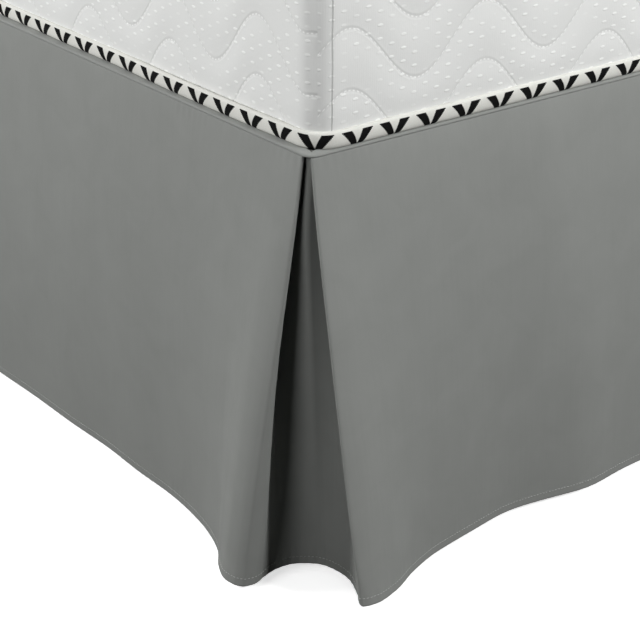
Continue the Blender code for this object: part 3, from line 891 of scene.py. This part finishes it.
def quilted_knit(line_apart, seam_at_distance):
    """Polyester jersey over wadding: soft matt white, with small raised dashes knitted in, 24 mm apart
    in rows 5.6 mm apart, each row shifted by half, and fine ribs 2.2 mm apart.

    The map called quilting holds the distance along a sewn line and the line's number, so a line
    shows wherever the number is whole: a narrow valley with a lockstitch in it, whose colour is greyed
    as painted shade. The border's upright seam is where cloth U is seam_at_distance, and there the
    colour is greyed fully, as painted shade in its groove.
    """
    dash_across, row_apart, dash_length, dash_height = 0.024, 0.0056, 0.0034, 0.0014
    rib_apart = 0.0022
    valley, stitch_apart = 0.0030, 0.0042
    seam = 0.0011
    made, tree, shader = new_material(
        "white_quilted_jersey", 0.85, Sheen_Weight=0.25, Sheen_Roughness=0.5, Specular_IOR_Level=0.3
    )
    maths = maths_in(tree)
    def map_axes(map_name):
        uv = add_node(tree, "ShaderNodeUVMap", {}, uv_map=map_name).outputs["UV"]
        split = add_node(tree, "ShaderNodeSeparateXYZ", {"Vector": uv})
        return uv, split.outputs["X"], split.outputs["Y"]

    def step_down(value, full, none):
        ends = {"Value": value, "From Min": none, "From Max": full, "To Min": 0.0, "To Max": 1.0}
        return add_node(tree, "ShaderNodeMapRange", ends, interpolation_type="SMOOTHSTEP").outputs[0]

    uv, across, up = map_axes("cloth")
    _, sewn_along, line = map_axes("quilting")
    row = maths("DIVIDE", up, row_apart)
    shifted = maths("MULTIPLY_ADD", maths("FLOOR", row), dash_across / 2, across)
    cell = maths("DIVIDE", shifted, dash_across)
    from_middle = [maths("SUBTRACT", maths("FRACT", part), 0.5) for part in (cell, row)]
    beside = maths("MULTIPLY", from_middle[0], dash_across / dash_length)
    above = maths("MULTIPLY", from_middle[1], row_apart / dash_height)
    away = maths("SQRT", maths("MULTIPLY_ADD", beside, beside, maths("MULTIPLY", above, above)))
    patchy = add_node(tree, "ShaderNodeTexNoise", {"Vector": uv, "Scale": 26.0, "Detail": 2.0})
    shows = step_down(patchy.outputs["Fac"], 0.58, 0.36)
    dashes = maths("MULTIPLY", step_down(away, 0.5, 1.0), shows)
    from_line = maths("ABSOLUTE", maths("SUBTRACT", maths("FRACT", maths("ADD", line, 0.5)), 0.5))
    sewn = step_down(maths("MULTIPLY", from_line, line_apart), 0.0004, valley)
    in_line = step_down(maths("MULTIPLY", from_line, line_apart), 0.0003, 0.0009)
    beat = maths("SINE", maths("MULTIPLY", sewn_along, 2 * pi / stitch_apart))
    thread = maths("MULTIPLY", in_line, step_down(beat, 0.3, -0.3))
    to_seam = maths("ABSOLUTE", maths("SUBTRACT", across, seam_at_distance))
    seamed = step_down(to_seam, 0.0004, seam)
    ribs = maths("SINE", maths("MULTIPLY", across, 2 * pi / rib_apart))
    fluff = add_node(tree, "ShaderNodeTexNoise", {"Vector": uv, "Scale": 300.0, "Detail": 3.0})
    white = two_tone(tree, maths("MAXIMUM", dashes, thread), "e3e4e2", "f6f7f5")
    # Painted shade: the colour greys towards c6c7c5 in the sewn valleys, less on the thread, and fully
    # along the border's seam.
    shaded = maths("MAXIMUM", maths("MULTIPLY", maths("SUBTRACT", sewn, thread), 0.22), seamed)
    colour = two_tone(tree, shaded, white, "c6c7c5")
    height = maths("MULTIPLY_ADD", ribs, 0.03, maths("MULTIPLY", fluff.outputs["Fac"], 0.30))
    height = maths("MULTIPLY_ADD", dashes, 0.9, height)
    height = maths("MULTIPLY_ADD", sewn, -1.1, height)
    height = maths("MULTIPLY_ADD", seamed, -2.0, height)
    finish(tree, shader, colour, height, 0.6, 0.0004)
    return made


def swell(line):
    """How full the filling stands between two sewn lines, from the line number: a sine's size to the
    power of 0.7."""
    return np.abs(np.sin(pi * line)) ** 0.7


def border_strip():
    """The border as a closed ring: its quilted face, a turned-in top and bottom edge and its back.

    Its waves crest at the places named for the side and the foot, and evenly between those. Each sewn
    line is a cosine wave of height, and the lines stand LINE_APART apart.
    """
    edge = bed_edge(MATTRESS_X, MATTRESS_Y, MATTRESS_CORNER, BORDER_COLUMNS)
    around = edge[2][-1]
    waves = round((around - FOOT_CRESTS[0] - SIDE_CRESTS[1]) / WAVE_LENGTH) + 1
    crests = [*SIDE_CRESTS, around - FOOT_CRESTS[0], around - FOOT_CRESTS[1]]
    numbers = [0, 1, waves, waves + 1]
    start = -SIDE_CRESTS[0] / (SIDE_CRESTS[1] - SIDE_CRESTS[0])
    stop = waves + 1 + FOOT_CRESTS[1] / (FOOT_CRESTS[0] - FOOT_CRESTS[1])
    distance = edge[2][:-1]
    phase = np.interp(distance, [0, *crests, around], [start, *numbers, stop])
    share = np.linspace(0, 1, BORDER_ROWS)[:, None]
    height = BORDER_HEIGHT * share
    held = np.clip(np.minimum(height, BORDER_HEIGHT - height) / BORDER_HELD, 0, 1) ** 0.5
    line = (height - LINE_FIRST - WAVE * np.cos(2 * pi * phase)) / LINE_APART
    inset = TAPE_DEPTH + BORDER_INSET - held * (BORDER_FULL + QUILT_RISE * swell(line))
    base = mattress_low[2]
    face = ring_walls(edge, inset, base + height)
    back_height = base + np.array([[BORDER_HEIGHT], [0]])
    back = ring_walls(edge, np.full((2, 1), BORDER_BACK), back_height)
    points = np.concatenate([face, back])
    turned_in = [BORDER_HEIGHT + 0.01, 2 * BORDER_HEIGHT, 2 * BORDER_HEIGHT + 0.01]
    walked = np.concatenate([height[:, 0], turned_in])
    uv = np.stack(np.meshgrid(edge[2], walked), axis=-1)
    wrapped = np.concatenate([line, line[-1:], line[:1], line[:1]])
    wrapped = np.concatenate([wrapped, wrapped[:, -1:]], axis=1)
    quilt = np.stack([uv[..., 0], wrapped], axis=-1)
    maps = {"cloth": uv, "quilting": quilt}
    return surface("mattress_border", points, maps, closed_rows=True, closed_columns=True)


PANEL_STEP = 0.0105
TOP_CROWN = mattress_high[2] - mattress_low[2] - BORDER_HEIGHT
PANEL_LINE_APART = 0.075
PANEL_WAVE = 0.024
PANEL_PUFF = 0.004
PANEL_THICK = 0.006
CROWN_REACH = 0.25
PUFF_REACH = 0.03


def mattress_panel(name, edge_height, out, quilted):
    """The top or bottom panel as a closed slab inside the border's edge.

    It is a rectangle of points. In each corner's square the points are drawn in to a quarter circle:
    each keeps its larger distance from the corner's centre as its radius. The crown rises with the
    square root of the nearness to the edge, and rows of waves are sewn into it.
    """
    half_x, half_y = MATTRESS_X - TAPE_DEPTH, MATTRESS_Y - TAPE_DEPTH
    corner = MATTRESS_CORNER - TAPE_DEPTH
    x, y = np.meshgrid(
        np.linspace(-half_x, half_x, round(2 * half_x / PANEL_STEP)),
        np.linspace(-half_y, half_y, round(2 * half_y / PANEL_STEP)),
    )
    into_x = np.maximum(np.abs(x) - half_x + corner, 0)
    into_y = np.maximum(np.abs(y) - half_y + corner, 0)
    reach = np.maximum(into_x, into_y) / np.maximum(np.hypot(into_x, into_y), 1e-9)
    in_corner = (into_x > 0) & (into_y > 0)
    draw = np.where(in_corner, reach, 1)
    rounded_x = np.sign(x) * (np.abs(x) - into_x + into_x * draw)
    rounded_y = np.sign(y) * (np.abs(y) - into_y + into_y * draw)
    nearness = np.minimum(half_x - np.abs(x), half_y - np.abs(y)).clip(0)
    crown = np.clip(nearness / CROWN_REACH, 0, 1) ** 0.5
    line = (x - PANEL_WAVE * np.cos(2 * pi * y / WAVE_LENGTH)) / PANEL_LINE_APART
    puff = PANEL_PUFF * swell(line) * np.clip(nearness / PUFF_REACH, 0, 1)
    rise = quilted * ((TOP_CROWN - PANEL_PUFF) * crown + puff)
    face, back = [
        np.stack([rounded_x, BED_MIDDLE_Y + rounded_y, edge_height + out * height], axis=-1)
        for height in (rise, np.full_like(x, -PANEL_THICK))
    ]
    points = np.concatenate([face, back[::-1]])
    if out < 0:
        points = points[:, ::-1]
    flat_uv = np.stack([x, y], axis=-1)
    uv = np.concatenate([flat_uv, flat_uv[::-1], flat_uv[:1]])
    flat_quilt = np.stack([y, line], axis=-1)
    quilt = np.concatenate([flat_quilt, flat_quilt[::-1], flat_quilt[:1]])
    maps = {"cloth": uv, "quilting": quilt}
    return surface(name, points, maps, closed_rows=True, extra_faces=end_caps(*x.shape))


border_knit = quilted_knit(LINE_APART, BORDER_SEAM)
panel_knit = quilted_knit(PANEL_LINE_APART, 2 * MATTRESS_Y)
mattress_pieces = [
    (border_strip(), border_knit),
    (mattress_panel("mattress_top_panel", mattress_low[2] + BORDER_HEIGHT, 1, 1.0), panel_knit),
    (mattress_panel("mattress_bottom_panel", mattress_low[2] + 0.0002, -1, 0.0), panel_knit),
]
for piece, knit in mattress_pieces:
    piece.data.materials.append(knit)
    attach(piece, "root")
    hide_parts("mattress")


# Binding tapes. A woven cotton tape, 38 mm wide, is folded round each edge seam of the mattress and
# sewn through, so it stands out as a rounded roll. Pairs of black strokes are woven into the white.

TAPE_COLUMNS = 1300
TAPE_ROUND = 15
STROKE_PITCH = 0.0384
FIRST_STROKE = -0.0020
STROKE_FOOT = 0.0030
STROKE_HEIGHT = 0.0116
ROLL_DROP = 0.0009
ROLL_OUT = 0.0016
FULL_OUT = 0.0030
FULL_FROM_CORNER = 0.170
FULL_WIDTH = 0.100


def chevron_tape(around):
    """Cotton jacquard tape: off-white, ribbed across, with plain black V-shaped pairs of strokes whose
    edges step with the weave. Each stroke leans out from the pair's middle, flares and widens upward."""
    step, rib_apart = 0.0011, 0.0012
    apart_at_foot, lean, flare = 0.0030, 0.50, 14.0
    half_width_at_foot, widening = 0.0029, 0.21
    made, tree, shader = new_material("white_cotton_jacquard_tape", 0.9, Specular_IOR_Level=0.15)
    pitch = around / round(around / STROKE_PITCH)
    uv = add_node(tree, "ShaderNodeUVMap", {}, uv_map="cloth").outputs["UV"]
    split = add_node(tree, "ShaderNodeSeparateXYZ", {"Vector": uv})
    maths = maths_in(tree)
    moved = maths("ADD", split.outputs["X"], pitch / 2 - FIRST_STROKE)
    along = maths("SUBTRACT", maths("FLOORED_MODULO", moved, pitch), pitch / 2)
    from_tip = maths("ABSOLUTE", along)
    up = maths("SUBTRACT", maths("SNAP", split.outputs["Y"], step), STROKE_FOOT)
    centre = maths("MULTIPLY_ADD", up, maths("MULTIPLY_ADD", up, flare, lean), apart_at_foot)
    half_width = maths("MULTIPLY_ADD", up, widening, half_width_at_foot)
    beside = maths("ABSOLUTE", maths("SUBTRACT", from_tip, centre))
    in_stroke = maths("LESS_THAN", beside, half_width)
    below_top = maths("LESS_THAN", up, STROKE_HEIGHT)
    above_foot = maths("GREATER_THAN", up, -0.5 * STROKE_FOOT)
    ink = maths("MULTIPLY", maths("MULTIPLY", in_stroke, below_top), above_foot)
    ribs = maths("SINE", maths("MULTIPLY", split.outputs["X"], 2 * pi / rib_apart))
    fluff = add_node(tree, "ShaderNodeTexNoise", {"Vector": uv, "Scale": 900.0, "Detail": 2.0})
    white = two_tone(tree, fluff.outputs["Fac"], "cecec8", "dfdfd9")
    colour = two_tone(tree, ink, white, "0b0b0b")
    height = maths("MULTIPLY_ADD", ribs, 0.5, fluff.outputs["Fac"])
    finish(tree, shader, colour, height, 0.4, 0.0002)
    return made


def rolled_tape(name, low, high):
    """The tape's roll carried round the mattress: a squarish D, from its lower edge out and up to its
    upper edge as a half ellipse with a power of 0.45, and straight down its back. On the foot, near
    the right corner, it stands further out as a bell curve."""
    edge = bed_edge(MATTRESS_X, MATTRESS_Y, MATTRESS_CORNER, TAPE_COLUMNS)
    turn = np.linspace(0, pi, TAPE_ROUND)
    reach = TAPE_DEPTH * np.sin(turn).clip(0) ** 0.45
    low = low - ROLL_DROP
    height = (low + high) / 2 - (high - low) / 2 * np.cos(turn)
    inset = TAPE_DEPTH + 0.0010 - reach
    distance = edge[2][:-1]
    from_corner = edge[2][-1] - distance
    sway = ROLL_OUT + 0.0004 * np.sin(distance / 0.061) + 0.0003 * np.sin(distance / 0.023 + 0.7)
    sway += FULL_OUT * np.exp(-(((from_corner - FULL_FROM_CORNER) / FULL_WIDTH) ** 2))
    points = ring_walls(edge, inset[:, None] - sway, height[:, None])
    walked = np.concatenate([[0], np.cumsum(np.hypot(np.diff(inset), np.diff(height)))])
    walked = np.append(walked, walked[-1] + (high - low))
    uv = np.stack(np.meshgrid(edge[2], walked), axis=-1)
    return surface(name, points, {"cloth": uv}, closed_rows=True, closed_columns=True), edge[2][-1]


tape_finish = None
for cad_node in ("tape_bottom", "tape_top"):
    low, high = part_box(cad_node)
    tape, around = rolled_tape(f"rolled_{cad_node}", low[2], high[2])
    if tape_finish is None:
        tape_finish = chevron_tape(around)
    tape.data.materials.append(tape_finish)
    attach(tape, "root")
    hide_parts(cad_node)


# Studio. A pale seamless floor under broad soft lights, and the camera where the photograph was
# taken: about a metre off the bed's corner, a long lens looking down on it.

FLOOR_HALF = 6.0
CAMERA_FROM_CORNER = (1.0728, -0.8084, 0.8691)
CAMERA_AZIMUTH = 52.63
CAMERA_PITCH = 24.73
CAMERA_ROLL = 0.08
LENS_MM = 101.86
WORLD_LIGHT = 0.75
FLOOR_GLOW = 0.75


def pale_floor():
    """Painted studio board: near white and quite matt, with the faintest mottling, lit from below too,
    so that it stays white far from the lights."""
    made, tree, shader = new_material("white_painted_board", 0.9, Specular_IOR_Level=0.1)
    shader.inputs["Emission Color"].default_value = linear("f4f4f4")
    shader.inputs["Emission Strength"].default_value = FLOOR_GLOW
    place = add_node(tree, "ShaderNodeTexCoord", {}).outputs["Object"]
    mottle = add_node(tree, "ShaderNodeTexNoise", {"Vector": place, "Scale": 3.0, "Detail": 3.0})
    colour = two_tone(tree, mottle.outputs["Fac"], "f2f2f2", "f6f6f6")
    tree.links.new(colour, shader.inputs["Base Color"])
    return made


def area_light(name, azimuth, height_angle, away, size, power):
    """A square soft light, away from the bed's corner on the way given by its azimuth, from 0 at the
    foot round to 90 at the right side, and its angle above the floor. It faces the corner."""
    lamp = bpy.data.lights.new(name, "AREA")
    lamp.shape = "SQUARE"
    lamp.size = size
    lamp.energy = power
    turn = Matrix.Rotation(radians(azimuth), 4, "Z") @ Matrix.Rotation(radians(90 - height_angle), 4, "X")
    item = bpy.data.objects.new(name, lamp)
    bpy.context.scene.collection.objects.link(item)
    item.matrix_world = Matrix.Translation(CORNER) @ turn @ Matrix.Translation((0, 0, away))


floor_grid = np.array([[(x, y, 0.0) for x in (-FLOOR_HALF, FLOOR_HALF)] for y in (-FLOOR_HALF, FLOOR_HALF)])
floor = surface("studio_floor", floor_grid)
floor.data.materials.append(pale_floor())
floor.visible_diffuse = False
floor.visible_glossy = False

CORNER = (SEAM_X, FOOT_Y, 0.25)
LIGHTS = (
    # (name, azimuth, height_angle, away, size, power)
    ("key_on_foot", -40, 26, 2.6, 0.8, 44),
    ("front_soft", 12, 30, 2.6, 1.0, 25),
    ("key_on_side", 114, 30, 2.6, 0.35, 43),
    ("fill_on_side", 142, 38, 2.6, 0.8, 22),
    ("overhead", 50, 85, 2.6, 1.4, 9),
    ("soft_on_left", 262, 18, 4.5, 2.0, 115),
    ("soft_on_head", 190, 18, 5.2, 2.0, 85),
)
for settings in LIGHTS:
    area_light(*settings)

world = bpy.data.worlds.new("white_studio")
world.use_nodes = True
world.node_tree.nodes["Background"].inputs["Color"].default_value = (1.0, 1.0, 1.0, 1.0)
world.node_tree.nodes["Background"].inputs["Strength"].default_value = WORLD_LIGHT
world.cycles_visibility.diffuse = False
world.cycles_visibility.glossy = False
bpy.context.scene.world = world
bpy.context.scene.view_settings.view_transform = "Standard"

lens = bpy.data.cameras.new("studio_camera")
lens.lens = LENS_MM
lens.clip_start = 0.05
camera = bpy.data.objects.new("studio_camera", lens)
bpy.context.scene.collection.objects.link(camera)
stand = [a + b for a, b in zip((SEAM_X, FOOT_Y, 0.0), CAMERA_FROM_CORNER)]
camera.matrix_world = (
    Matrix.Translation(stand)
    @ Matrix.Rotation(radians(CAMERA_AZIMUTH), 4, "Z")
    @ Matrix.Rotation(radians(90 - CAMERA_PITCH), 4, "X")
    @ Matrix.Rotation(radians(CAMERA_ROLL), 4, "Z")
)
bpy.context.scene.camera = camera
